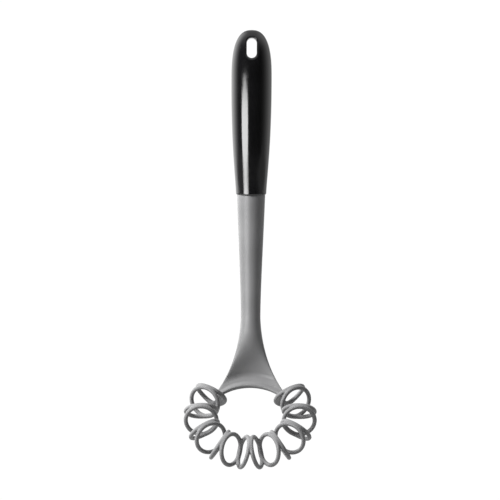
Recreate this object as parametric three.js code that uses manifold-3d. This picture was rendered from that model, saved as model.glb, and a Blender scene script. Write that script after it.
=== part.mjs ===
// Potato masher: a black grip on a grey moulding whose stem flares into a dished neck
// that carries an angled ring of round loops.
// Millimetres. +Z runs up the grip, the loop ring reaches out towards -Y, and the origin is
// the middle of the hanging slot.

import * as THREE from "three";
import { mergeVertices } from "three/addons/utils/BufferGeometryUtils.js";
import Module from "manifold-3d";

// ---------------------------------------------------------------- driving dimensions

const GAP = 0.3; // clearance between neighbouring pieces

// Grip
const GRIP_TOP = 12.2;
const GRIP_BOTTOM = -96.9;
const GRIP_WIDEST = -20.8;
const GRIP_HALF_WIDTH = 13.34;
const GRIP_END_HALF_WIDTH = 10.05;
const GRIP_END_ROUNDING = 1.0;
const GRIP_DEPTH_RATIO = 0.84; // front-to-back size over width
const DOME_POWER = 2.8; // roundness of the grip's top
const DOME_ROOT = 2.5;
const SLOT_WIDTH = 6.6;
const SLOT_HEIGHT = 13.3;

// Stem and its hidden tang
const STEM_BOTTOM = -176.3;
const STEM_TOP_HALF_WIDTH = 9.3;
const STEM_WAIST_HALF_WIDTH = 6.47;
const STEM_TOP_DEPTH_RATIO = 0.83;
const STEM_WAIST_DEPTH_RATIO = 0.75;
const TANG_TOP = -28.0;
const TANG_ROOT_RADIUS = 6.2;
const TANG_TIP_RADIUS = 4.4;
const BARB_COUNT = 3;
const BARB_HEIGHT = 0.7;
const BARB_LENGTH = 5.0;
const BARB_PITCH = 16.0;

// Loop ring
const RING_TILT = THREE.MathUtils.degToRad(45); // ring plane against the horizontal
const RING_RADIUS = 32.3; // circle through the loops' centres
const LOOP_RADIUS = 10.1; // centre line of one loop
const STRAND_RADIUS = 1.4;
const LOOP_COUNT = 18;
const LOOP_STEP = THREE.MathUtils.degToRad(15);
const LOOP_YAW = THREE.MathUtils.degToRad(9.5); // zigzag seen from above
const LOOP_ROLL = THREE.MathUtils.degToRad(20.5); // zigzag seen from the ring's middle
const ROOT_GROWTH = 0.15; // the two end loops are a little thicker along their lower side
const ROOT_SHIFT = 2.5; // and bow away from the neck there
const ROOT_ANGLE = THREE.MathUtils.degToRad(264); // middle of that stretch, from the outer point
const ROOT_SPREAD = THREE.MathUtils.degToRad(48);
const WEB_DEPTH = 4.6; // web that fills the end loops' holes beside the neck
const WEB_ANGLE = THREE.MathUtils.degToRad(208);
const WEB_SPREAD = THREE.MathUtils.degToRad(52);

// Neck
const NECK_TIP_HALF_WIDTH = 20.9;
const NECK_FLARE_Z = -224.4; // height where the neck reaches its tip width
const LIP_RADIUS = 25.3; // the neck's lower edge is an arc about the ring's middle
const LIP_LENGTH = 4.3; // straight stretch between the bend and the lip
const LIP_HALF_THICKNESS = 1.4;
const BEND_START_Z = -212.94;
const BEND_RADIUS = 8.0;
const LEAN_BACK = THREE.MathUtils.degToRad(12); // backward lean of the blade above the bend
const SCOOP_RADIUS = 28.0; // the blade and its bend curve round the ring's middle
const SCOOP_START = 0.15; // share of the blade above the bend that stays uncurved
const FLAT_START = 0.25; // shares of the blade between which it thins down to the lip
const FLAT_END = 0.95;
const EDGE_FULLNESS = 0.75; // 1 is an oval section; smaller is squarer
const NECK_OVERRUN = 10.0; // extra blade that the lip cut and tip cuts remove

// Facets
const ROUND_SEGMENTS = 36;
const LOOP_SIDES = 8;
const LOOP_SEGMENTS = 24;

const BLACK = new THREE.MeshStandardMaterial({ color: 0x0c0c0d, roughness: 0.18, metalness: 0 });
const GREY = new THREE.MeshStandardMaterial({ color: 0x77777a, roughness: 0.55, metalness: 0 });

// ---------------------------------------------------------------- solids

const wasm = await Module();
wasm.setup();

function toSolid(geometry) {
  const bare = geometry.clone();
  bare.deleteAttribute("normal");
  bare.deleteAttribute("uv");
  const merged = mergeVertices(bare, 1e-5);
  const vertProperties = new Float32Array(merged.attributes.position.array);
  const triVerts = new Uint32Array(merged.index.array);
  return new wasm.Manifold(new wasm.Mesh({ numProp: 3, vertProperties, triVerts }));
}

function toGeometry(solid) {
  const mesh = solid.getMesh();
  const geometry = new THREE.BufferGeometry();
  geometry.setAttribute("position", new THREE.BufferAttribute(mesh.vertProperties, 3));
  geometry.setIndex(new THREE.BufferAttribute(mesh.triVerts, 1));
  geometry.computeVertexNormals();
  return geometry;
}

function piece(name, geometry, material) {
  const mesh = new THREE.Mesh(geometry, material);
  mesh.name = name;
  return mesh;
}

function moveVertices(geometry, change) {
  const position = geometry.attributes.position;
  const point = new THREE.Vector3();
  for (let i = 0; i < position.count; i += 1) {
    point.fromBufferAttribute(position, i);
    change(point);
    position.setXYZ(i, point.x, point.y, point.z);
  }
  return geometry;
}

// A profile of (half width, height) points turned about Z, then flattened front to back.
function flattenedLathe(profile, depthRatio) {
  const geometry = new THREE.LatheGeometry(profile, ROUND_SEGMENTS);
  geometry.rotateX(Math.PI / 2);
  return moveVertices(geometry, (point) => {
    point.y *= depthRatio(point.z);
  });
}

function bezierPoints(controls, count) {
  const [a, b, c, d] = controls.map(([x, z]) => new THREE.Vector2(x, z));
  return new THREE.CubicBezierCurve(a, b, c, d).getPoints(count);
}

// ---------------------------------------------------------------- grip

function roundedEnd() {
  const points = [];
  for (const degrees of [0, 30, 60]) {
    const turn = THREE.MathUtils.degToRad(degrees);
    const halfWidth = GRIP_END_HALF_WIDTH - GRIP_END_ROUNDING * (1 - Math.sin(turn));
    const z = GRIP_BOTTOM + GRIP_END_ROUNDING * (1 - Math.cos(turn));
    points.push(new THREE.Vector2(halfWidth, z));
  }
  return points;
}

function gripProfile() {
  const flank = bezierPoints(
    [
      [GRIP_END_HALF_WIDTH, GRIP_BOTTOM + GRIP_END_ROUNDING],
      [GRIP_END_HALF_WIDTH + 0.8, GRIP_BOTTOM + 17],
      [GRIP_HALF_WIDTH, GRIP_WIDEST - 42],
      [GRIP_HALF_WIDTH, GRIP_WIDEST],
    ],
    10,
  );
  const domeHeight = GRIP_TOP - GRIP_WIDEST;
  const domeSteps = 14;
  const dome = [];
  for (let i = 1; i < domeSteps; i += 1) {
    const drop = (1 - i / domeSteps) ** 2; // share of the dome's height below its top
    const halfWidth = GRIP_HALF_WIDTH * (1 - (1 - drop) ** DOME_POWER) ** (1 / DOME_ROOT);
    dome.push(new THREE.Vector2(halfWidth, GRIP_TOP - domeHeight * drop));
  }
  const bottom = new THREE.Vector2(0, GRIP_BOTTOM);
  const top = new THREE.Vector2(0, GRIP_TOP);
  return [bottom, ...roundedEnd(), ...flank, ...dome, top];
}

function slotCutter() {
  const radius = SLOT_WIDTH / 2;
  const rise = SLOT_HEIGHT / 2 - radius;
  const outline = new THREE.Shape();
  outline.absarc(0, rise, radius, 0, Math.PI, false);
  outline.absarc(0, -rise, radius, Math.PI, 2 * Math.PI, false);
  const depth = 4 * GRIP_HALF_WIDTH;
  const options = { depth, bevelEnabled: false, curveSegments: 10 };
  const geometry = new THREE.ExtrudeGeometry(outline, options);
  geometry.translate(0, 0, -depth / 2);
  return geometry.rotateX(Math.PI / 2);
}

function tangRadius(z) {
  const share = (z - GRIP_BOTTOM) / (TANG_TOP - GRIP_BOTTOM);
  return THREE.MathUtils.lerp(TANG_ROOT_RADIUS, TANG_TIP_RADIUS, share);
}

function stemDepthRatio(z) {
  const share = THREE.MathUtils.clamp((GRIP_BOTTOM - z) / (GRIP_BOTTOM - STEM_BOTTOM), 0, 1);
  return THREE.MathUtils.lerp(STEM_TOP_DEPTH_RATIO, STEM_WAIST_DEPTH_RATIO, share);
}

function socketCutter() {
  const clearance = BARB_HEIGHT + GAP + 0.1;
  const profile = [
    new THREE.Vector2(0, GRIP_BOTTOM - 5),
    new THREE.Vector2(TANG_ROOT_RADIUS + clearance, GRIP_BOTTOM - 5),
    new THREE.Vector2(TANG_ROOT_RADIUS + clearance, GRIP_BOTTOM),
    new THREE.Vector2(TANG_TIP_RADIUS + clearance, TANG_TOP + GAP),
    new THREE.Vector2(0, TANG_TOP + GAP),
  ];
  return flattenedLathe(profile, stemDepthRatio);
}

function makeGrip() {
  const body = toSolid(flattenedLathe(gripProfile(), () => GRIP_DEPTH_RATIO));
  const slotted = body.subtract(toSolid(slotCutter()));
  return toGeometry(slotted.subtract(toSolid(socketCutter())));
}

// ---------------------------------------------------------------- stem

// Each barb is a ramp that lets the tang in and a step that holds it.
function barbPoints() {
  const points = [];
  for (let i = 0; i < BARB_COUNT; i += 1) {
    const step = GRIP_BOTTOM + BARB_PITCH * (i + 1);
    const rampEnd = step + BARB_LENGTH;
    points.push(new THREE.Vector2(tangRadius(step), step - 0.2));
    points.push(new THREE.Vector2(tangRadius(step) + BARB_HEIGHT, step));
    points.push(new THREE.Vector2(tangRadius(rampEnd), rampEnd));
  }
  return points;
}

function stemProfile() {
  const shoulder = GRIP_BOTTOM - GAP;
  const side = bezierPoints(
    [
      [STEM_WAIST_HALF_WIDTH, STEM_BOTTOM],
      [STEM_WAIST_HALF_WIDTH + 0.05, STEM_BOTTOM + 19],
      [STEM_TOP_HALF_WIDTH - 0.85, shoulder - 25],
      [STEM_TOP_HALF_WIDTH, shoulder],
    ],
    12,
  );
  return [
    new THREE.Vector2(0, STEM_BOTTOM),
    ...side,
    new THREE.Vector2(TANG_ROOT_RADIUS, shoulder),
    ...barbPoints(),
    new THREE.Vector2(TANG_TIP_RADIUS, TANG_TOP - 2),
    new THREE.Vector2(TANG_TIP_RADIUS - 1.5, TANG_TOP),
    new THREE.Vector2(0, TANG_TOP),
  ];
}

function makeStem() {
  return toGeometry(toSolid(flattenedLathe(stemProfile(), stemDepthRatio)));
}

// ---------------------------------------------------------------- ring frame

const NECK_TOP = STEM_BOTTOM - GAP;
const STRAIGHT_LENGTH = NECK_TOP - BEND_START_Z;
const LEAN_DEPTH = (STRAIGHT_LENGTH * Math.tan(LEAN_BACK)) / 2;
const BEND_LENGTH = BEND_RADIUS * (RING_TILT + LEAN_BACK);
const BEND_END_Y = LEAN_DEPTH + BEND_RADIUS * (Math.cos(RING_TILT) - Math.cos(LEAN_BACK));
const BEND_END_Z = BEND_START_Z - BEND_RADIUS * (Math.sin(RING_TILT) + Math.sin(LEAN_BACK));
const LIP_TO_MIDDLE = LIP_LENGTH + LIP_RADIUS;

// The ring's own frame: X to the right, Y back along the ring plane, Z out of it.
const ringFrame = new THREE.Matrix4()
  .makeRotationX(RING_TILT)
  .setPosition(
    0,
    BEND_END_Y - LIP_TO_MIDDLE * Math.cos(RING_TILT),
    BEND_END_Z - LIP_TO_MIDDLE * Math.sin(RING_TILT),
  );

// A thick pie slice about the ring's axis, facing -Y, its sides set back from the radial planes.
function sector(halfAngle, setBack) {
  const reach = 2 * (RING_RADIUS + LOOP_RADIUS);
  const apex = setBack / Math.sin(halfAngle);
  const outline = new THREE.Shape();
  outline.moveTo(0, -apex);
  outline.lineTo(-reach * Math.tan(halfAngle), -apex - reach);
  outline.lineTo(reach * Math.tan(halfAngle), -apex - reach);
  outline.closePath();
  const depth = 8 * LOOP_RADIUS;
  const geometry = new THREE.ExtrudeGeometry(outline, { depth, bevelEnabled: false });
  return geometry.translate(0, 0, -depth / 2);
}

// ---------------------------------------------------------------- loops

function loopAngle(index) {
  return (index - (LOOP_COUNT - 1) / 2) * LOOP_STEP;
}

// Every other loop leans the opposite way, so neighbours meet at the top and at the inside in turn.
function loopPlacement(side) {
  const yaw = side * LOOP_YAW;
  const roll = side * LOOP_ROLL;
  const outward = new THREE.Vector3(-Math.sin(yaw), -Math.cos(yaw), 0);
  const across = new THREE.Vector3(-Math.cos(yaw), Math.sin(yaw), 0);
  const upward = new THREE.Vector3(0, 0, Math.cos(roll)).addScaledVector(across, Math.sin(roll));
  const facing = new THREE.Vector3().crossVectors(outward, upward);
  return new THREE.Matrix4().makeBasis(outward, upward, facing).setPosition(0, -RING_RADIUS, 0);
}

function bell(angle, middle, spread) {
  const turn = THREE.MathUtils.euclideanModulo(angle - middle + Math.PI, 2 * Math.PI) - Math.PI;
  return Math.exp(-((turn / spread) ** 2));
}

// Bows and webs the stretch of an end loop that springs from the neck. side is the torus's own Z
// direction that faces away from the neck.
function shapeRoot(point, side) {
  const around = Math.atan2(point.y, point.x);
  const share = bell(around, ROOT_ANGLE, ROOT_SPREAD);
  const inward = Math.max(0, LOOP_RADIUS - Math.hypot(point.x, point.y)) / STRAND_RADIUS;
  const web = WEB_DEPTH * inward * bell(around, WEB_ANGLE, WEB_SPREAD);
  const middle = new THREE.Vector3(Math.cos(around), Math.sin(around), 0);
  point.addScaledVector(middle, -LOOP_RADIUS).multiplyScalar(1 + ROOT_GROWTH * share);
  point.z += side * ROOT_SHIFT * share;
  point.addScaledVector(middle, LOOP_RADIUS - web);
}

// A round loop at the front of the ring, trimmed to flat lands where it meets its neighbours.
function loopShape(side, rootSide) {
  const torus = new THREE.TorusGeometry(LOOP_RADIUS, STRAND_RADIUS, LOOP_SIDES, LOOP_SEGMENTS);
  if (rootSide !== 0) {
    moveVertices(torus, (point) => shapeRoot(point, rootSide));
  }
  const ring = toSolid(torus.applyMatrix4(loopPlacement(side)));
  return toGeometry(ring.intersect(toSolid(sector(LOOP_STEP / 2, GAP / 2))));
}

function makeLoopRing() {
  const ring = new THREE.Group();
  ring.applyMatrix4(ringFrame);
  for (let index = 0; index < LOOP_COUNT; index += 1) {
    const number = String(index + 1).padStart(2, "0");
    // Mirror images alternate; the pair either side of the middle meets at the top.
    const side = index % 2 === 0 ? -1 : 1;
    const rootSide = { 0: -1, [LOOP_COUNT - 1]: 1 }[index] ?? 0;
    const loop = piece(`loop_${number}`, loopShape(side, rootSide), GREY);
    loop.rotation.z = loopAngle(index);
    ring.add(loop);
  }
  return ring;
}

// ---------------------------------------------------------------- neck

const NECK_LENGTH = STRAIGHT_LENGTH + BEND_LENGTH + LIP_LENGTH + NECK_OVERRUN;

const flare = new THREE.CubicBezierCurve(
  new THREE.Vector2(STEM_WAIST_HALF_WIDTH, STEM_BOTTOM),
  new THREE.Vector2(STEM_WAIST_HALF_WIDTH, STEM_BOTTOM - 1.5),
  new THREE.Vector2(STEM_WAIST_HALF_WIDTH + 0.14, NECK_FLARE_Z + 19.8),
  new THREE.Vector2(NECK_TIP_HALF_WIDTH, NECK_FLARE_Z),
).getPoints(60);

function neckHalfWidth(z) {
  const found = flare.findIndex((point) => point.y <= z);
  // Past the tip width the sides run on in a straight line.
  const next = found === -1 ? flare.length - 1 : Math.max(found, 1);
  const before = flare[next - 1];
  const after = flare[next];
  return THREE.MathUtils.mapLinear(z, before.y, after.y, before.x, after.x);
}

// How far the ring's curve has come forwards at a distance across from the middle.
function scoopAdvance(across) {
  const reach = Math.min(Math.abs(across), 0.95 * SCOOP_RADIUS);
  return SCOOP_RADIUS - Math.sqrt(SCOOP_RADIUS ** 2 - reach ** 2);
}

// The blade's middle surface: it leans back, arcs forwards and runs on along the ring plane.
function bladeMiddle(along, reach) {
  const share = THREE.MathUtils.clamp(along / STRAIGHT_LENGTH, 0, 1);
  const bent = (along - STRAIGHT_LENGTH) / BEND_RADIUS - LEAN_BACK;
  const turn = THREE.MathUtils.clamp(bent, -LEAN_BACK, RING_TILT);
  const past = Math.max(along - STRAIGHT_LENGTH - BEND_LENGTH, 0);
  const scoop = THREE.MathUtils.smoothstep(along, SCOOP_START * STRAIGHT_LENGTH, STRAIGHT_LENGTH);
  const advance = past + scoop * scoopAdvance(reach);
  const y = LEAN_DEPTH * share ** 2 + BEND_RADIUS * (Math.cos(turn) - Math.cos(LEAN_BACK));
  const drop = STRAIGHT_LENGTH * share + BEND_RADIUS * (Math.sin(turn) + Math.sin(LEAN_BACK));
  return new THREE.Vector3(
    reach,
    y - advance * Math.sin(RING_TILT),
    NECK_TOP - drop - advance * Math.cos(RING_TILT),
  );
}

function bladeNormal(along, reach) {
  const step = 0.01;
  const down = bladeMiddle(along + step, reach).sub(bladeMiddle(along - step, reach));
  const across = bladeMiddle(along, reach + step).sub(bladeMiddle(along, reach - step));
  return down.cross(across).normalize();
}

// Half width of the blade where its edge, carried down by the scoop, meets the flare.
function bladeHalfWidth(along) {
  let halfWidth = STEM_WAIST_HALF_WIDTH;
  for (let i = 0; i < 10; i += 1) {
    halfWidth = neckHalfWidth(bladeMiddle(along, halfWidth).z);
  }
  return halfWidth;
}

// A square of the blade's section, rounded to a disc and stretched to the blade's width.
function placeNeckPoint(point) {
  const along = point.z * NECK_LENGTH;
  const flatness = THREE.MathUtils.smoothstep(
    along,
    FLAT_START * STRAIGHT_LENGTH,
    FLAT_END * STRAIGHT_LENGTH,
  );
  const waistHalfDepth = STEM_WAIST_HALF_WIDTH * STEM_WAIST_DEPTH_RATIO;
  const halfThickness = THREE.MathUtils.lerp(waistHalfDepth, LIP_HALF_THICKNESS, flatness);
  const fullness = THREE.MathUtils.lerp(1, EDGE_FULLNESS, flatness);
  const across = point.x * Math.sqrt(1 - point.y ** 2 / 2);
  const through = point.y * Math.sqrt(1 - point.x ** 2 / 2);
  const skin = halfThickness * Math.sign(through) * Math.abs(through) ** fullness;
  const reach = across * bladeHalfWidth(along);
  point.copy(bladeMiddle(along, reach)).addScaledVector(bladeNormal(along, reach), skin);
}

function makeNeck() {
  const box = new THREE.BoxGeometry(2, 2, 1, 16, 4, 24).translate(0, 0, 0.5);
  const blade = toSolid(moveVertices(box, placeNeckPoint));
  const lipHeight = 6 * LOOP_RADIUS;
  const lip = new THREE.CylinderGeometry(LIP_RADIUS, LIP_RADIUS, lipHeight, 72);
  lip.rotateX(Math.PI / 2).applyMatrix4(ringFrame);
  const neckHalfAngle = Math.PI - (LOOP_COUNT * LOOP_STEP) / 2;
  const backOfRing = sector(neckHalfAngle, GAP / 2).rotateZ(Math.PI).applyMatrix4(ringFrame);
  return toGeometry(blade.intersect(toSolid(backOfRing)).subtract(toSolid(lip)));
}

// ---------------------------------------------------------------- assembly

const masher = new THREE.Group();
masher.add(piece("handle", makeGrip(), BLACK));
masher.add(piece("stem", makeStem(), GREY));
masher.add(piece("neck", makeNeck(), GREY));
masher.add(makeLoopRing());

export default masher;
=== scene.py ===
"""Potato masher: glossy black grip, satin grey head with an angled ring of round loops.
Shapes are in millimetres until mesh_object() turns them into metres. The camera and the
studio are in metres."""

import math
from contextlib import contextmanager
from functools import partial

import bmesh
import bpy
import numpy as np
from mathutils import Matrix, Vector
from mathutils.bvhtree import BVHTree


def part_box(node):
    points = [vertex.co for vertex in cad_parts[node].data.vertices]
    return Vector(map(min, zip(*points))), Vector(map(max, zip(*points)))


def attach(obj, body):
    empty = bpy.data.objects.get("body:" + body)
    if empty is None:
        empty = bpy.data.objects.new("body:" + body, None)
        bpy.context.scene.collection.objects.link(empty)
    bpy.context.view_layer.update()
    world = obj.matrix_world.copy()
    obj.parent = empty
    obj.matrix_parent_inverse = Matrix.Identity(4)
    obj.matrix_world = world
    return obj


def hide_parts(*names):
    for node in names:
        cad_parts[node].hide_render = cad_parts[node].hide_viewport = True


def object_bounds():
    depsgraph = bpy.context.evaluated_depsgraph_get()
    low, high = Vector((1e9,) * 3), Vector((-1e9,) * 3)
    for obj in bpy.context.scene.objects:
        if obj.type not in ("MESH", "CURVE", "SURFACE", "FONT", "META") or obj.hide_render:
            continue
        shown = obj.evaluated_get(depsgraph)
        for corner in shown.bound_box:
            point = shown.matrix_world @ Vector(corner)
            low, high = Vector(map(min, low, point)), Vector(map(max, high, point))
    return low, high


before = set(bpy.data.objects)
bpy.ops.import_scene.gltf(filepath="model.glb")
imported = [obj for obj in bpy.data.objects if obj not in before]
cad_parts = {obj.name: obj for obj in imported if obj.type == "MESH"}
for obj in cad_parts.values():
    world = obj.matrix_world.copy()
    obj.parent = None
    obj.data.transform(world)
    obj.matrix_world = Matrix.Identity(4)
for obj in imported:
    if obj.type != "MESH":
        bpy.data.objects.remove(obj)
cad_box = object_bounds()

MM = 0.001


def box_mm(node):
    """The CAD node's low and high corners in millimetres."""
    low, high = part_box(node)
    return np.array(low) / MM, np.array(high) / MM


# ---------------------------------------------------------------- dimensions

GRIP_LOW, GRIP_HIGH = box_mm("handle")
STEM_LOW = box_mm("stem")[0]
NECK_HIGH = box_mm("neck")[1]

GRIP_TOP, GRIP_BOTTOM, GRIP_WIDEST = GRIP_HIGH[2], GRIP_LOW[2], -20.8
GRIP_HALF_WIDTH = GRIP_HIGH[0]
GRIP_END_HALF_WIDTH, GRIP_END_ROUNDING = 10.05, 1.0
GRIP_DEPTH_RATIO = 0.84
GRIP_END_BOW = 1.0  # the lower edge is this much lower at the front than at the sides
END_BOW_BELOW = 0.35  # share of the bow that lies below the flat place
END_BOW_REACH = 14.0  # the bow fades out over this height
DOME_HEIGHT_POWER, DOME_WIDTH_POWER = 2.8, 2.5  # of the superellipse that the dome follows
FLANK_UPPER_REACH, FLANK_LOWER_REACH, FLANK_LOWER_BULGE = 42.0, 17.0, 0.8
SLOT_WIDTH, SLOT_HEIGHT, SLOT_FILLET = 6.6, 13.3, 1.7
SOCKET_RADIUS, SOCKET_TOP = 6.6, -27.7
SOCKET_BEVEL_WIDTH, SOCKET_BEVEL_HEIGHT = 0.6, 0.8
SOCKET_TAPER, SOCKET_CONE_HEIGHT = 1.4, 1.0
AXIS_RADIUS = 0.05  # turned profiles stop this close to the axis
TURNED_SIDES = 128
TURNED_CREASE, CUT_CREASE = math.radians(40), math.radians(45)

JOIN_Z = (STEM_LOW[2] + NECK_HIGH[2]) / 2  # the stem and neck are one moulding
STEM_TOP_HALF_WIDTH, WAIST_HALF_WIDTH = 9.3, 6.47
STEM_TOP_DEPTH_RATIO, WAIST_DEPTH_RATIO = 0.83, 0.75
STEM_LOWER_BULGE, STEM_LOWER_REACH = 0.05, 19.0
STEM_UPPER_DIP, STEM_UPPER_REACH = 0.85, 25.0
SHOULDER_OVERLAP = 0.15  # how far the stem's shoulder goes into the grip
TANG_RADIUS, TANG_TAPER, TANG_CLEARANCE = 6.2, 1.6, 1.5

RING_TILT = math.radians(45)
RING_RADIUS, LOOP_RADIUS, STRAND_RADIUS = 32.3, 10.1, 1.4
LOOP_COUNT, LOOP_STEP = 18, math.radians(15)
LOOP_YAW, LOOP_ROLL = math.radians(9.5), math.radians(20.5)
ROOT_GROWTH, ROOT_SHIFT = 0.15, 2.5
ROOT_ANGLE, ROOT_SPREAD = math.radians(264), math.radians(48)
WEB_DEPTH, WEB_ANGLE, WEB_SPREAD = 4.6, math.radians(208), math.radians(52)
END_LOOPS = {0: -1, LOOP_COUNT - 1: 1}  # the side that each end loop bows towards
FILLET = 0.8  # how far two strands blend where they touch
BLEND_STEPS, BLEND_DEPTH = 5, 0.6  # points deeper in the other surface than this stay put
FUSE_REACH = 6.0  # the blade blends towards an end loop within this distance of its strand

NECK_TIP_HALF_WIDTH, NECK_FLARE_Z = 20.9, -224.4
FLARE_UPPER_REACH, FLARE_LOWER_REACH, FLARE_LOWER_BULGE = 1.5, 19.8, 0.14
LIP_RADIUS, LIP_LENGTH, LIP_HALF_THICKNESS, LIP_ROUNDING = 25.3, 4.3, 1.4, 1.2
BEND_START_Z, BEND_RADIUS, SCOOP_RADIUS = -212.94, 8.0, 28.0
SCOOP_START, SCOOP_LIMIT = 0.15, 0.95  # shares of the straight length and of the radius
FLAT_START, FLAT_END = 0.25, 0.95  # shares of the straight length
EDGE_FULLNESS = 0.75
LIP_SEARCH_START = 0.6  # share of the straight length from which the lip is looked for
LIP_FINE_SHARE = 0.035  # share of the blade's length with closer rows, next to the lip
LIP_BEAD, LIP_GROOVE = 0.14, 0.22  # shares of the thickness along the rolled lip
BEAD_PLACE, BEAD_SPREAD, GROOVE_PLACE, GROOVE_SPREAD = 1.7, 1.1, 4.4, 1.3  # from the lip's edge
LEAN_BACK = math.radians(12)  # the blade leans back this far before it bends forwards

STRAIGHT_LENGTH = JOIN_Z - BEND_START_Z
LEAN_DEPTH = STRAIGHT_LENGTH * math.tan(LEAN_BACK) / 2
BEND_LENGTH = BEND_RADIUS * (RING_TILT + LEAN_BACK)
RING_MIDDLE = np.array([
    0.0,
    LEAN_DEPTH + BEND_RADIUS * (math.cos(RING_TILT) - math.cos(LEAN_BACK))
    - (LIP_LENGTH + LIP_RADIUS) * math.sin(RING_TILT),
    BEND_START_Z - BEND_RADIUS * (math.sin(RING_TILT) + math.sin(LEAN_BACK))
    - (LIP_LENGTH + LIP_RADIUS) * math.cos(RING_TILT),
])


# ---------------------------------------------------------------- camera

CAMERA_DISTANCE, VIEW_WIDTH, SENSOR_WIDTH = 2.636, 0.3295, 36
CAMERA_X, CAMERA_Z, CAMERA_ROLL = -0.0006, -0.1328, math.radians(-0.24)


def make_camera():
    data = bpy.data.cameras.new("camera")
    data.sensor_width = SENSOR_WIDTH
    data.lens = SENSOR_WIDTH * CAMERA_DISTANCE / VIEW_WIDTH
    camera = bpy.data.objects.new("camera", data)
    bpy.context.scene.collection.objects.link(camera)
    camera.location = (CAMERA_X, -CAMERA_DISTANCE, CAMERA_Z)
    camera.rotation_euler = (math.radians(90), CAMERA_ROLL, 0)
    bpy.context.scene.camera = camera


# ---------------------------------------------------------------- mesh tools

@contextmanager
def mesh_edit(mesh):
    """A bmesh of the mesh that is written back when the block ends."""
    build = bmesh.new()
    build.from_mesh(mesh)
    yield build
    build.to_mesh(mesh)
    build.free()


def mesh_object(name, points, faces):
    mesh = bpy.data.meshes.new(name)
    mesh.from_pydata((np.asarray(points) * MM).tolist(), [], faces)
    mesh.polygons.foreach_set("use_smooth", [True] * len(mesh.polygons))
    piece = bpy.data.objects.new(name, mesh)
    bpy.context.scene.collection.objects.link(piece)
    with mesh_edit(mesh) as build:
        bmesh.ops.recalc_face_normals(build, faces=build.faces)
    return piece


def full_turn(count):
    """Evenly spaced angles once round."""
    return np.linspace(0, 2 * math.pi, count + 1)[:-1]


def ring_faces(rows, around, wrap_rows=False):
    """Quads of a grid of rows that each close round."""
    faces = []
    for i in range(rows if wrap_rows else rows - 1):
        for j in range(around):
            k = (j + 1) % around
            below = (i + 1) % rows
            faces.append((i * around + j, i * around + k, below * around + k, below * around + j))
    return faces


def capped_tube(name, rings):
    """A closed skin over rings of points, with a fan at either end."""
    rows, around = rings.shape[:2]
    points = rings.reshape(-1, 3)
    ends = np.array([rings[0].mean(0), rings[-1].mean(0)])
    first, last = rows * around, rows * around + 1
    faces = ring_faces(rows, around)
    for j in range(around):
        k = (j + 1) % around
        faces.append((first, k, j))
        faces.append((last, (rows - 1) * around + j, (rows - 1) * around + k))
    return mesh_object(name, np.vstack([points, ends]), faces)


def smoothstep(value, low, high):
    share = np.clip((value - low) / (high - low), 0, 1)
    return share * share * (3 - 2 * share)


def bezier(controls, count):
    """Points along the cubic curve of four control points."""
    t = np.linspace(0, 1, count)[:, None]
    a, b, c, d = np.array(controls, float)
    return a * (1 - t) ** 3 + 3 * b * t * (1 - t) ** 2 + 3 * c * t * t * (1 - t) + d * t ** 3


def sharpen(piece, angle):
    """Edges sharper than the angle keep a crease in the shading."""
    with mesh_edit(piece.data) as build:
        for edge in build.edges:
            edge.smooth = not edge.is_manifold or edge.calc_face_angle(0) < angle


def turned_rings(profile, depth_ratio):
    """Flattened rings round the Z axis through a (half width, height) profile."""
    turn = full_turn(TURNED_SIDES)
    rings = np.empty((len(profile), len(turn), 3))
    rings[:, :, 0] = profile[:, :1] * np.cos(turn)
    rings[:, :, 1] = profile[:, :1] * np.sin(turn) * depth_ratio
    rings[:, :, 2] = profile[:, 1:]
    return rings


# ---------------------------------------------------------------- grip

def grip_profile():
    """(half width, height) down the outside, from the top to the lower edge."""
    share = np.linspace(0, 1, 70)[1:] ** 2
    dome_height = GRIP_TOP - GRIP_WIDEST
    width = GRIP_HALF_WIDTH * (1 - (1 - share) ** DOME_HEIGHT_POWER) ** (1 / DOME_WIDTH_POWER)
    dome = np.stack([width, GRIP_TOP - dome_height * share], 1)
    flank = bezier([
        (GRIP_HALF_WIDTH, GRIP_WIDEST),
        (GRIP_HALF_WIDTH, GRIP_WIDEST - FLANK_UPPER_REACH),
        (GRIP_END_HALF_WIDTH + FLANK_LOWER_BULGE, GRIP_BOTTOM + FLANK_LOWER_REACH),
        (GRIP_END_HALF_WIDTH, GRIP_BOTTOM + GRIP_END_ROUNDING),
    ], 90)[1:]
    turn = np.linspace(0, math.pi / 2, 9)[1:]
    edge = np.stack([
        GRIP_END_HALF_WIDTH - GRIP_END_ROUNDING * (1 - np.cos(turn)),
        GRIP_BOTTOM + GRIP_END_ROUNDING * (1 - np.sin(turn)),
    ], 1)
    return np.vstack([dome, flank, edge])


def grip_depth(x, z):
    """How far the grip's skin is in front of its middle plane."""
    profile = grip_profile()[::-1]
    width = np.interp(z, profile[:, 1], profile[:, 0])
    return GRIP_DEPTH_RATIO * np.sqrt(np.maximum(width ** 2 - x ** 2, 0))


def end_bow(x):
    """How far the joint between grip and stem is above its flat place."""
    return GRIP_END_BOW * ((x / GRIP_END_HALF_WIDTH) ** 2 - END_BOW_BELOW)


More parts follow.
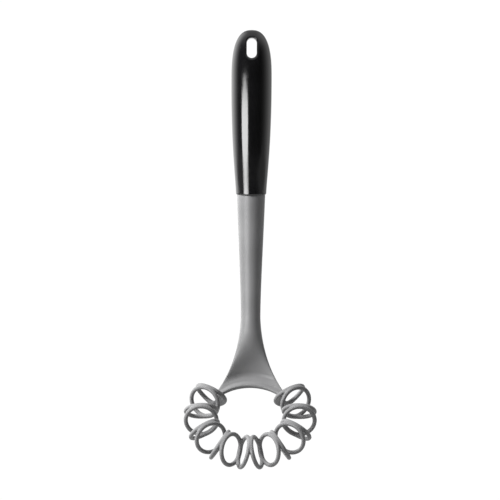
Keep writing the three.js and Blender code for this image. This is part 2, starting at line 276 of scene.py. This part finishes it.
def slot_cutter():
    """The hanging slot, flared where it comes out so that its rim is rounded."""
    turn = full_turn(72)
    radius = SLOT_WIDTH / 2
    rise = np.where(np.sin(turn) >= 0, 1, -1) * (SLOT_HEIGHT / 2 - radius)
    outward = np.stack([np.cos(turn), np.sin(turn)], 1)
    outline = outward * radius + np.stack([0 * rise, rise], 1)
    rings = []
    for face in (1, -1):
        side = []
        for angle in np.linspace(0, math.pi / 2, 10):
            at = outline + outward * SLOT_FILLET * (1 - math.cos(angle))
            depth = grip_depth(at[:, 0], at[:, 1]) - SLOT_FILLET * (1 - math.sin(angle))
            side.append(np.stack([at[:, 0], face * depth, at[:, 1]], 1))
        outer = side[-1].copy()
        outer[:, 1] = face * (GRIP_HIGH[1] + 3)
        side.append(outer)
        rings = side[::-1] if face == 1 else rings + side
    return capped_tube("slot_cutter", np.array(rings))


def grip_rings():
    """Rings over the grip's top, down its outside and up into its socket."""
    socket = np.array([
        (SOCKET_RADIUS + SOCKET_BEVEL_WIDTH, GRIP_BOTTOM),
        (SOCKET_RADIUS, GRIP_BOTTOM + SOCKET_BEVEL_HEIGHT),
        (SOCKET_RADIUS - SOCKET_TAPER, SOCKET_TOP - SOCKET_CONE_HEIGHT),
        (AXIS_RADIUS, SOCKET_TOP),
    ])
    profile = np.vstack([[AXIS_RADIUS, GRIP_TOP], grip_profile(), socket])
    rings = turned_rings(profile, GRIP_DEPTH_RATIO)
    near_end = 1 - smoothstep(rings[:, :, 2], GRIP_BOTTOM, GRIP_BOTTOM + END_BOW_REACH)
    rings[:, :, 2] += near_end * end_bow(rings[:, :, 0])
    return rings


def make_grip():
    grip = capped_tube("grip", grip_rings())
    cutter = slot_cutter()
    cut = grip.modifiers.new("slot", "BOOLEAN")
    cut.object = cutter
    cut.operation = "DIFFERENCE"
    cut.solver = "EXACT"
    bpy.context.view_layer.update()
    evaluated = grip.evaluated_get(bpy.context.evaluated_depsgraph_get())
    mesh = bpy.data.meshes.new_from_object(evaluated)
    grip.modifiers.clear()
    grip.data = mesh
    bpy.data.objects.remove(cutter)
    sharpen(grip, TURNED_CREASE)
    return grip


# ---------------------------------------------------------------- stem

def make_stem():
    shoulder = GRIP_BOTTOM + SHOULDER_OVERLAP
    side = bezier([
        (WAIST_HALF_WIDTH, JOIN_Z),
        (WAIST_HALF_WIDTH + STEM_LOWER_BULGE, JOIN_Z + STEM_LOWER_REACH),
        (STEM_TOP_HALF_WIDTH - STEM_UPPER_DIP, shoulder - STEM_UPPER_REACH),
        (STEM_TOP_HALF_WIDTH, shoulder),
    ], 80)
    tang = np.array([
        (TANG_RADIUS, shoulder), (TANG_RADIUS - TANG_TAPER, SOCKET_TOP - TANG_CLEARANCE)])
    profile = np.vstack([side, tang])
    share = np.clip((GRIP_BOTTOM - profile[:, 1]) / (GRIP_BOTTOM - JOIN_Z), 0, 1)
    ratio = STEM_TOP_DEPTH_RATIO + share * (WAIST_DEPTH_RATIO - STEM_TOP_DEPTH_RATIO)
    rings = turned_rings(profile, ratio[:, None])
    near_end = smoothstep(rings[:, :, 2], GRIP_BOTTOM - END_BOW_REACH, GRIP_BOTTOM)
    rings[:, :, 2] += near_end * end_bow(rings[:, :, 0])
    stem = capped_tube("stem_shaft", rings)
    sharpen(stem, TURNED_CREASE)
    return stem


# ---------------------------------------------------------------- ring geometry

def ring_matrix():
    """From the ring's own frame, whose Z is its axis, to the object's."""
    return Matrix.Translation(RING_MIDDLE) @ Matrix.Rotation(RING_TILT, 4, "X")


def loop_angle(index):
    return (index - (LOOP_COUNT - 1) / 2) * LOOP_STEP


def loop_side(index):
    """Neighbouring loops lean to opposite sides."""
    return -1 if index % 2 == 0 else 1


def loop_matrix(index):
    """From a loop's own frame, whose Z is its axis, to the object's."""
    yaw, roll = loop_side(index) * LOOP_YAW, loop_side(index) * LOOP_ROLL
    outward = Vector((-math.sin(yaw), -math.cos(yaw), 0))
    across = Vector((-math.cos(yaw), math.sin(yaw), 0))
    upward = Vector((0, 0, math.cos(roll))) + across * math.sin(roll)
    facing = outward.cross(upward)
    basis = Matrix((outward, upward, facing)).transposed().to_4x4()
    place = Matrix.Translation((0, -RING_RADIUS, 0)) @ basis
    return ring_matrix() @ Matrix.Rotation(loop_angle(index), 4, "Z") @ place


def moved(points, matrix):
    matrix = np.array(matrix)
    return points @ matrix[:3, :3].T + matrix[:3, 3]


def loop_distance(index, points):
    """Signed distance to the plain round strand of a loop."""
    local = moved(points, loop_matrix(index).inverted())
    off = np.hypot(local[:, 0], local[:, 1]) - LOOP_RADIUS
    return np.hypot(off, local[:, 2]) - STRAND_RADIUS


def bell(angle, middle, spread):
    """A smooth bump of height 1 round an angle."""
    turn = (angle - middle + math.pi) % (2 * math.pi) - math.pi
    return np.exp(-((turn / spread) ** 2))


def strand_points(root_side, around=132, sides=28):
    """A torus in its own frame. root_side is the side an end loop bows towards, or 0."""
    turn = full_turn(around)[:, None]
    section = full_turn(sides)[None, :]
    radial = STRAND_RADIUS * np.cos(section) + 0 * turn
    height = STRAND_RADIUS * np.sin(section) + 0 * turn
    web = 0 * turn
    if root_side:
        share = bell(turn, ROOT_ANGLE, ROOT_SPREAD)
        inward = np.maximum(0, -radial) / STRAND_RADIUS
        web = WEB_DEPTH * inward * bell(turn, WEB_ANGLE, WEB_SPREAD)
        radial = radial * (1 + ROOT_GROWTH * share)
        height = height * (1 + ROOT_GROWTH * share) + root_side * ROOT_SHIFT * share
    reach = LOOP_RADIUS + radial - web
    return np.stack([reach * np.cos(turn), reach * np.sin(turn), height], 2)


def grid_normals(grid):
    """Unit normals of a grid of points that closes both ways, pointing out of the tube."""
    along = np.roll(grid, -1, 0) - np.roll(grid, 1, 0)
    round_ = np.roll(grid, -1, 1) - np.roll(grid, 1, 1)
    normal = np.cross(along, round_)
    normal /= np.linalg.norm(normal, axis=2, keepdims=True)
    middle = grid.mean(1, keepdims=True)
    flip = np.sign((normal * (grid - middle)).sum(2).mean())
    return normal * flip


def blend_outwards(points, normals, distance, width):
    """Moves points out to the smooth union of their own surface and another's."""
    travel = np.zeros(len(points))
    for _ in range(BLEND_STEPS):
        other = distance(points + normals * travel[:, None])
        share = np.clip(1 - np.abs(travel - other) / width, 0, 1)
        union = np.minimum(travel, other) - width * share * share / 4
        travel = travel - np.where(other > -BLEND_DEPTH, union, 0)
    return points + normals * np.clip(travel, 0, width)[:, None]


def cut_by_plane(build, point, normal):
    geometry = build.verts[:] + build.edges[:] + build.faces[:]
    cut = bmesh.ops.bisect_plane(
        build, geom=geometry, dist=1e-7, plane_co=point * MM, plane_no=normal, clear_outer=True)
    if any(isinstance(item, bmesh.types.BMEdge) for item in cut["geom_cut"]):
        open_edges = [edge for edge in build.edges if edge.is_boundary]
        bmesh.ops.holes_fill(build, edges=open_edges, sides=0)


def cut_by_planes(piece, planes):
    """Keeps the part behind each (point, outward normal) plane and closes the cuts."""
    with mesh_edit(piece.data) as build:
        for point, normal in planes:
            cut_by_plane(build, point, normal)
        bmesh.ops.recalc_face_normals(build, faces=build.faces)
    sharpen(piece, CUT_CREASE)


def radial_plane(angle, outward):
    """A plane through the ring's axis; outward is 1 or -1 along growing angles."""
    turned = Matrix.Rotation(RING_TILT, 3, "X") @ Matrix.Rotation(angle, 3, "Z")
    return Vector(RING_MIDDLE), turned @ Vector((outward, 0, 0))


# ---------------------------------------------------------------- neck

FLARE = bezier([
    (WAIST_HALF_WIDTH, JOIN_Z),
    (WAIST_HALF_WIDTH, JOIN_Z - FLARE_UPPER_REACH),
    (WAIST_HALF_WIDTH + FLARE_LOWER_BULGE, NECK_FLARE_Z + FLARE_LOWER_REACH),
    (NECK_TIP_HALF_WIDTH, NECK_FLARE_Z),
], 200)[::-1]


def neck_half_width(z):
    """The flare's half width, carried on straight below its lowest point."""
    slope = (FLARE[0, 0] - FLARE[4, 0]) / (FLARE[0, 1] - FLARE[4, 1])
    beyond = FLARE[0, 0] + slope * (z - FLARE[0, 1])
    return np.where(z < FLARE[0, 1], beyond, np.interp(z, FLARE[:, 1], FLARE[:, 0]))


def scoop_advance(across):
    """How much further forwards and down the hollow blade is, off its middle."""
    reach = np.minimum(np.abs(across), SCOOP_LIMIT * SCOOP_RADIUS)
    return SCOOP_RADIUS - np.sqrt(SCOOP_RADIUS ** 2 - reach ** 2)


def neck_middle(along, reach):
    """Points of the blade's middle surface at distances down it and across it."""
    share = np.clip(along / STRAIGHT_LENGTH, 0, 1)
    turn = np.clip((along - STRAIGHT_LENGTH) / BEND_RADIUS - LEAN_BACK, -LEAN_BACK, RING_TILT)
    past = np.maximum(along - STRAIGHT_LENGTH - BEND_LENGTH, 0)
    scooped = smoothstep(along, SCOOP_START * STRAIGHT_LENGTH, STRAIGHT_LENGTH)
    advance = past + scooped * scoop_advance(reach)
    y = LEAN_DEPTH * share ** 2 + BEND_RADIUS * (np.cos(turn) - math.cos(LEAN_BACK))
    z = JOIN_Z - STRAIGHT_LENGTH * share - BEND_RADIUS * (np.sin(turn) + math.sin(LEAN_BACK))
    return np.stack([
        reach, y - advance * math.sin(RING_TILT), z - advance * math.cos(RING_TILT)], -1)


def neck_normals(along, reach):
    """Unit normals of the middle surface, facing the front."""
    step = 0.01
    down = neck_middle(along + step, reach) - neck_middle(along - step, reach)
    across = neck_middle(along, reach + step) - neck_middle(along, reach - step)
    normal = np.cross(down, across)
    return normal / np.linalg.norm(normal, axis=-1, keepdims=True)


def neck_points(along, turn, thinness=1.0):
    """Skin points at distances along the blade and angles round its section."""
    width = WAIST_HALF_WIDTH + 0 * along
    for _ in range(10):
        width = neck_half_width(neck_middle(along, width)[..., 2])
    reach = np.cos(turn) * width
    flatness = smoothstep(along, FLAT_START * STRAIGHT_LENGTH, FLAT_END * STRAIGHT_LENGTH)
    waist = WAIST_HALF_WIDTH * WAIST_DEPTH_RATIO
    thickness = (waist + (LIP_HALF_THICKNESS - waist) * flatness) * thinness
    fullness = 1 + (EDGE_FULLNESS - 1) * flatness
    skin = thickness * np.sign(np.sin(turn)) * np.abs(np.sin(turn)) ** fullness
    return neck_middle(along, reach) + skin[..., None] * neck_normals(along, reach)


def lip_distance(points):
    """Distance from the ring's axis."""
    local = moved(points, ring_matrix().inverted())
    return np.hypot(local[..., 0], local[..., 1])


def neck_lengths(turn):
    """How far along the blade its lip lies at each angle round the section."""
    low = np.full_like(turn, STRAIGHT_LENGTH * LIP_SEARCH_START)
    high = np.full_like(turn, STRAIGHT_LENGTH + BEND_LENGTH + LIP_LENGTH)
    for _ in range(40):
        middle = (low + high) / 2
        outside = lip_distance(neck_points(middle, turn, 0.0)) > LIP_RADIUS
        low = np.where(outside, middle, low)
        high = np.where(outside, high, middle)
    return (low + high) / 2


def lip_thinness(to_lip):
    """The rounded edge, bead and groove of the lip as a share of the blade's thickness."""
    edge = 1 - np.clip(to_lip / LIP_ROUNDING, 0, 1)
    bead = LIP_BEAD * np.exp(-((to_lip - BEAD_PLACE) / BEAD_SPREAD) ** 2)
    groove = LIP_GROOVE * np.exp(-((to_lip - GROOVE_PLACE) / GROOVE_SPREAD) ** 2)
    return np.sqrt(np.maximum(1 - edge ** 2, 0)) * (1 + bead - groove)


def neck_rings():
    """Rings round the blade's section from the waist to the lip, closer near the lip."""
    turn = full_turn(160)
    lengths = neck_lengths(turn)
    upper = np.linspace(0, 1 - LIP_FINE_SHARE, 120)
    lower = 1 - LIP_FINE_SHARE * np.linspace(1, 0, 26)[1:] ** 2
    along = np.concatenate([upper, lower])[:, None] * lengths[None, :]
    thinness = lip_thinness(lengths[None, :] - along)
    return neck_points(along, turn[None, :] + 0 * along, thinness)


def make_neck():
    rings = neck_rings()
    rows, around = rings.shape[:2]
    top = rows * around
    cap = [(top, (j + 1) % around, j) for j in range(around)]
    points = np.vstack([rings.reshape(-1, 3), rings[0].mean(0)])
    neck = mesh_object("neck_blade", points, ring_faces(rows, around) + cap)
    with mesh_edit(neck.data) as build:
        bmesh.ops.remove_doubles(build, verts=build.verts, dist=2e-6)
    return neck


def signed_distance(tree):
    """A function that gives points' distances to a closed surface, negative inside it."""
    def measure(points):
        distances = np.empty(len(points))
        for i, point in enumerate(points):
            place = Vector(point * MM)
            near, normal, _, gap = tree.find_nearest(place)
            distances[i] = math.copysign(gap, (place - near).dot(normal)) / MM
        return distances
    return measure


def fuse_neck(neck):
    """Blends the blade's tips towards the end loops, then trims it at their planes."""
    mesh = neck.data
    points = np.array([v.co for v in mesh.vertices]) / MM
    normals = np.array([v.normal for v in mesh.vertices])
    for index in END_LOOPS:
        near = np.where(np.abs(loop_distance(index, points)) < FUSE_REACH)[0]
        points[near] = blend_outwards(
            points[near], normals[near], partial(loop_distance, index), 2 * FILLET)
    mesh.vertices.foreach_set("co", (points * MM).ravel())
    first = loop_angle(0) - LOOP_STEP / 2
    last = loop_angle(LOOP_COUNT - 1) + LOOP_STEP / 2
    cut_by_planes(neck, [radial_plane(first, 1), radial_plane(last, -1)])


# ---------------------------------------------------------------- loops

def make_loop(index, neck_gap):
    """One loop blended towards its neighbours; neck_gap measures distances to the blade."""
    grid = moved(strand_points(END_LOOPS.get(index, 0)), loop_matrix(index))
    rows, around = grid.shape[:2]
    normals = grid_normals(grid).reshape(-1, 3)
    points = grid.reshape(-1, 3)
    for other in (index - 1, index + 1):
        if 0 <= other < LOOP_COUNT:
            points = blend_outwards(points, normals, partial(loop_distance, other), FILLET)
    if index in END_LOOPS:
        points = blend_outwards(points, normals, neck_gap, 2 * FILLET)
    loop = mesh_object(f"ring_loop_{index + 1:02d}", points, ring_faces(rows, around, True))
    angle = loop_angle(index)
    cut_by_planes(loop, [
        radial_plane(angle - LOOP_STEP / 2, -1), radial_plane(angle + LOOP_STEP / 2, 1)])
    return loop


# ---------------------------------------------------------------- materials

NOISE_RANGE = (0.3, 0.7)  # most of a noise texture's values lie between these


def noise(tree, scale, detail, source):
    node = tree.nodes.new("ShaderNodeTexNoise")
    node.inputs["Scale"].default_value = scale
    node.inputs["Detail"].default_value = detail
    tree.links.new(source, node.inputs["Vector"])
    return node.outputs["Fac"]


def tint(tree, value, dark, light):
    """A colour between two, by a noise value."""
    node = tree.nodes.new("ShaderNodeValToRGB")
    for element, position, colour in zip(node.color_ramp.elements, NOISE_RANGE, (dark, light)):
        element.position = position
        element.color = (*colour, 1)
    tree.links.new(value, node.inputs["Fac"])
    return node.outputs["Color"]


def map_range(tree, value, source, result=(0, 1), interpolation="LINEAR"):
    node = tree.nodes.new("ShaderNodeMapRange")
    node.interpolation_type = interpolation
    for name, number in zip(("From Min", "From Max", "To Min", "To Max"), (*source, *result)):
        node.inputs[name].default_value = number
    tree.links.new(value, node.inputs["Value"])
    return node.outputs["Result"]


def bump(tree, value, strength, depth, onto=None):
    node = tree.nodes.new("ShaderNodeBump")
    node.inputs["Strength"].default_value = strength
    node.inputs["Distance"].default_value = depth
    tree.links.new(value, node.inputs["Height"])
    if onto is not None:
        tree.links.new(onto, node.inputs["Normal"])
    return node.outputs["Normal"]


def new_material(name):
    material = bpy.data.materials.new(name)
    material.use_nodes = True
    tree = material.node_tree
    coordinates = tree.nodes.new("ShaderNodeTexCoord").outputs["Object"]
    return material, tree, tree.nodes["Principled BSDF"], coordinates


def grip_plastic():
    """Polished black moulding with a faint orange peel and handling haze."""
    material, tree, shader, where = new_material("black_grip_plastic")
    cloud = noise(tree, 60, 3, where)
    haze = noise(tree, 420, 4, where)
    colour = tint(tree, cloud, (0.0025, 0.0025, 0.0028), (0.0045, 0.0045, 0.005))
    tree.links.new(colour, shader.inputs["Base Color"])
    roughness = map_range(tree, haze, NOISE_RANGE, (0.09, 0.12))
    tree.links.new(roughness, shader.inputs["Roughness"])
    peel = bump(tree, noise(tree, 900, 2, where), 0.04, 0.00004)
    tree.links.new(bump(tree, cloud, 0.10, 0.0003, peel), shader.inputs["Normal"])
    shader.inputs["IOR"].default_value = 1.75
    return material


def head_nylon():
    """Satin grey nylon: fine spark-eroded texture, slight flow clouding."""
    material, tree, shader, where = new_material("grey_head_nylon")
    cloud = noise(tree, 45, 4, where)
    grain = noise(tree, 2600, 3, where)
    fleck = noise(tree, 700, 3, where)
    colour = tint(tree, cloud, (0.150, 0.150, 0.152), (0.185, 0.185, 0.187))
    tree.links.new(colour, shader.inputs["Base Color"])
    roughness = map_range(tree, fleck, NOISE_RANGE, (0.32, 0.40))
    tree.links.new(roughness, shader.inputs["Roughness"])
    fine = bump(tree, grain, 0.35, 0.00004)
    tree.links.new(bump(tree, fleck, 0.2, 0.00008, fine), shader.inputs["Normal"])
    shader.inputs["IOR"].default_value = 1.5
    return material


def finish_piece(piece, node, material):
    """Gives a piece its material, hides the CAD node that it stands in for and ties it to its body.
    """
    piece.data.materials.clear()
    piece.data.materials.append(material)
    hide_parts(node)
    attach(piece, "root")


# ---------------------------------------------------------------- studio

FLOOR_DROP, FLOOR_HALF_WIDTH, FLOOR_NEAR, FLOOR_FAR = 0.085, 4, -2.1, 0.8
FLOOR_GREY, FLOOR_ROUGHNESS = 0.32, 0.9
WORLD_BEHIND, WORLD_LEFT, WORLD_RIGHT, WORLD_ABOVE, WORLD_ROOM = 1.0, 2.1, 0.70, 0.50, 0.03
KEY_SIZE = (0.45, 0.45)


def add_light(name, place, target, size, power, shape="RECTANGLE"):
    data = bpy.data.lights.new(name, "AREA")
    data.shape = shape
    data.size, data.size_y = size
    data.energy = power
    light = bpy.data.objects.new(name, data)
    bpy.context.scene.collection.objects.link(light)
    light.location = place
    light.rotation_euler = (Vector(target) - Vector(place)).to_track_quat("-Z", "Y").to_euler()
    return light


def make_floor():
    mesh = bpy.data.meshes.new("floor")
    height = cad_box[0][2] - FLOOR_DROP
    corners = [
        (-FLOOR_HALF_WIDTH, FLOOR_NEAR), (FLOOR_HALF_WIDTH, FLOOR_NEAR),
        (FLOOR_HALF_WIDTH, FLOOR_FAR), (-FLOOR_HALF_WIDTH, FLOOR_FAR)]
    mesh.from_pydata([(x, y, height) for x, y in corners], [], [(0, 1, 2, 3)])
    floor = bpy.data.objects.new("floor", mesh)
    bpy.context.scene.collection.objects.link(floor)
    material = bpy.data.materials.new("floor_paper")
    material.use_nodes = True
    shader = material.node_tree.nodes["Principled BSDF"]
    shader.inputs["Base Color"].default_value = (FLOOR_GREY, FLOOR_GREY, FLOOR_GREY, 1)
    shader.inputs["Roughness"].default_value = FLOOR_ROUGHNESS
    mesh.materials.append(material)


def world_math(tree, operation, a, b):
    node = tree.nodes.new("ShaderNodeMath")
    node.operation = operation
    for socket, value in zip(node.inputs, (a, b)):
        if isinstance(value, (int, float)):
            socket.default_value = value
        else:
            tree.links.new(value, socket)
    return node.outputs["Value"]


def make_world():
    """White paper behind, a bright reflector to the left, dimmer ones to the right and
    above, and a dark room in front. Each lobe fades in over ranges of the direction."""
    world = bpy.data.worlds.new("studio")
    bpy.context.scene.world = world
    world.use_nodes = True
    tree = world.node_tree
    split = tree.nodes.new("ShaderNodeSeparateXYZ")
    tree.links.new(tree.nodes.new("ShaderNodeTexCoord").outputs["Generated"], split.inputs["Vector"])
    x, y, z = (split.outputs[axis] for axis in "XYZ")
    lobes = (
        (WORLD_BEHIND, [(y, (0.75, 0.95))]),
        (WORLD_LEFT, [(y, (-0.40, 0.60)), (x, (-0.20, -0.80))]),
        (WORLD_RIGHT, [(y, (-0.75, 0.55)), (x, (0.25, 0.90))]),
        (WORLD_ABOVE, [(z, (0.3, 0.9))]),
    )
    level = WORLD_ROOM
    for lobe, fades in lobes:
        for axis, ends in fades:
            fade = map_range(tree, axis, ends, interpolation="SMOOTHSTEP")
            lobe = world_math(tree, "MULTIPLY", fade, lobe)
        level = world_math(tree, "ADD", lobe, level)
    tree.links.new(level, tree.nodes["Background"].inputs["Strength"])
    tree.nodes["Background"].inputs["Color"].default_value = (1, 1, 1, 1)


def make_lights():
    """Two strips that only reflect and two keys that only shade."""
    middle = (0, 0, -0.13)
    strips = (
        add_light("strip_left", (-0.67, -0.995, -0.2935), (0, 0, -0.2935), (0.72, 0.573), 5.0),
        add_light(
            "strip_middle", (-0.66, -0.98, -0.095), (0, 0, -0.095), (0.71, 0.26), 2.5, "ELLIPSE"),
    )
    keys = (
        add_light("key_left", (-1.10, -0.50, 0.75), middle, KEY_SIZE, 60),
        add_light("key_top", (-0.60, -0.42, 1.1), middle, KEY_SIZE, 3),
    )
    for light in strips:
        light.visible_diffuse = False  # the long highlight in the grip and a sheen on the nylon
    for light in keys:
        light.visible_glossy = False  # shade the object without reflections of their own


# ---------------------------------------------------------------- build

make_camera()
black, grey = grip_plastic(), head_nylon()
finish_piece(make_grip(), "handle", black)
finish_piece(make_stem(), "stem", grey)
blade = make_neck()
gap_to_neck = signed_distance(BVHTree.FromObject(
    blade, bpy.context.evaluated_depsgraph_get()))
for number in range(LOOP_COUNT):
    finish_piece(make_loop(number, gap_to_neck), f"loop_{number + 1:02d}", grey)
fuse_neck(blade)
finish_piece(blade, "neck", grey)
make_floor()
make_world()
make_lights()
bpy.context.scene.view_settings.view_transform = "Standard"
